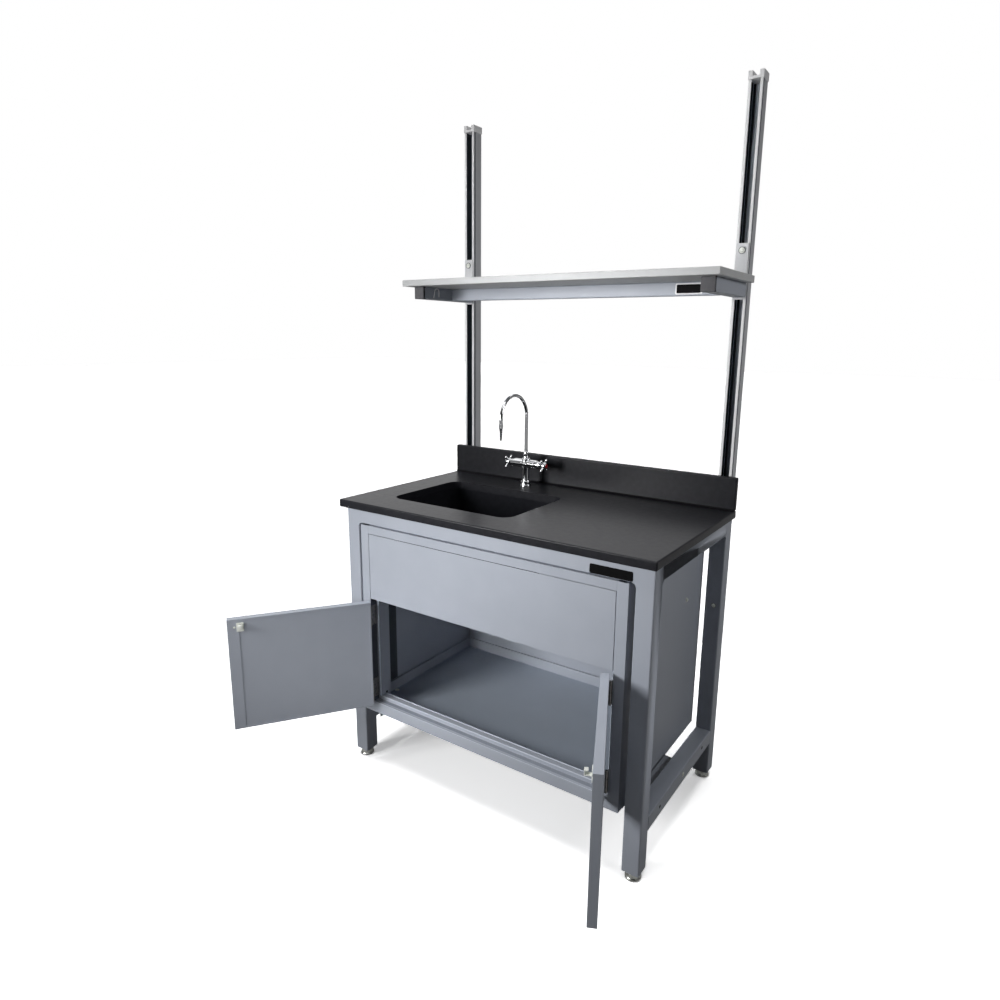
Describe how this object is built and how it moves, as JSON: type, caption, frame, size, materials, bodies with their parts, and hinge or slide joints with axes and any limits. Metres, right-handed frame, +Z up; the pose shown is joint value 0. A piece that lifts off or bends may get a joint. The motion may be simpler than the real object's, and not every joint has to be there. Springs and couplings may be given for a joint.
{
  "type": "laboratory sink unit",
  "caption": "Laboratory sink bench: steel frame, hung cabinet with hinged doors, resin worktop with bowl, gooseneck mixing faucet, and an adjustable shelf on slotted uprights.",
  "frame": {"origin": "on the floor, under the middle of the bounding box with the doors open as stored", "axes": "+Z up, front toward -Y, +X to the right seen from the front"},
  "size_m": [1.26, 1.0438, 2.122],
  "materials": {
    "paint": "satin powder coat",
    "resin": "matt cast resin",
    "chrome": "polished",
    "zinc": "zinc plated",
    "steel": "dark steel",
    "alloy": "satin",
    "cap": "moulded",
    "laminate": "laminate faced board",
    "red": "moulded",
    "blue": "moulded"
  },
  "bodies": {
    "bench": {"backsplash": "resin", "bottom_rail": "paint", "cabinet_back": "paint", "cabinet_floor": "paint", "cabinet_side_left": "paint", "cabinet_side_right": "paint", "cap_left": "cap", "cap_right": "cap", "end_rail_left": "paint", "end_rail_right": "paint", "faucet_body": "chrome", "faucet_nut": "steel", "front_panel": "paint", "head_rail": "paint", "hinge_lower_left": "steel", "hinge_lower_right": "steel", "hinge_upper_left": "steel", "hinge_upper_right": "steel", "leg_front_left": "paint", "leg_front_right": "paint", "leg_rear_left": "paint", "leg_rear_right": "paint", "rail_front": "paint", "rail_rear": "paint", "sink_bowl": "resin", "sink_drain": "steel", "stile_left": "paint", "stile_right": "paint", "stretcher_left": "paint", "stretcher_right": "paint", "upright_left": "alloy", "upright_right": "alloy", "worktop": "resin"},
    "left_door": {"catch_left": "zinc", "door_left": "paint", "door_liner_left": "paint", "hinge_leaf_lower_left": "steel", "hinge_leaf_upper_left": "steel"},
    "right_door": {"catch_right": "zinc", "door_liner_right": "paint", "door_right": "paint", "hinge_leaf_lower_right": "steel", "hinge_leaf_upper_right": "steel"},
    "front_left_foot": {"foot_front_left": "zinc"},
    "front_right_foot": {"foot_front_right": "zinc"},
    "rear_left_foot": {"foot_rear_left": "zinc"},
    "rear_right_foot": {"foot_rear_right": "zinc"},
    "spout": {"gooseneck": "chrome", "nozzle": "chrome"},
    "cold_handle": {"handle_cold": "chrome", "index_cold": "blue"},
    "hot_handle": {"handle_hot": "chrome", "index_hot": "red"},
    "shelf": {"shelf_arm_left": "alloy", "shelf_arm_right": "alloy", "shelf_board": "laminate", "shelf_bracket_left": "alloy", "shelf_bracket_right": "alloy", "shelf_rail": "paint"}
  },
  "joints": [
    {"name": "left_door_hinge", "type": "hinge", "parent": "bench", "child": "left_door", "pos_m": [-0.39144, -0.12803, 0.4], "axis": [0, 0, -1], "range_deg": [-125, 45]},
    {"name": "right_door_hinge", "type": "hinge", "parent": "bench", "child": "right_door", "pos_m": [0.45556, -0.12803, 0.4], "axis": [0, 0, 1], "range_deg": [-115, 55]},
    {"name": "spout_swivel", "type": "hinge", "parent": "bench", "child": "spout", "pos_m": [-0.14144, 0.38387, 1], "axis": [0, 0, 1], "range_deg": [-100, 100]},
    {"name": "cold_valve", "type": "hinge", "parent": "bench", "child": "cold_handle", "pos_m": [-0.21144, 0.38387, 0.98], "axis": [-1, 0, 0], "range_deg": [0, 180]},
    {"name": "hot_valve", "type": "hinge", "parent": "bench", "child": "hot_handle", "pos_m": [-0.07144, 0.38387, 0.98], "axis": [1, 0, 0], "range_deg": [0, 180]},
    {"name": "shelf_height", "type": "slide", "parent": "bench", "child": "shelf", "axis": [0, 0, 1], "range_m": [-0.28, 0.41]},
    {"name": "front_left_levelling", "type": "slide", "parent": "bench", "child": "front_left_foot", "axis": [0, 0, -1], "range_m": [0, 0.025]},
    {"name": "front_right_levelling", "type": "slide", "parent": "bench", "child": "front_right_foot", "axis": [0, 0, -1], "range_m": [0, 0.025]},
    {"name": "rear_left_levelling", "type": "slide", "parent": "bench", "child": "rear_left_foot", "axis": [0, 0, -1], "range_m": [0, 0.025]},
    {"name": "rear_right_levelling", "type": "slide", "parent": "bench", "child": "rear_right_foot", "axis": [0, 0, -1], "range_m": [0, 0.025]}
  ]
}
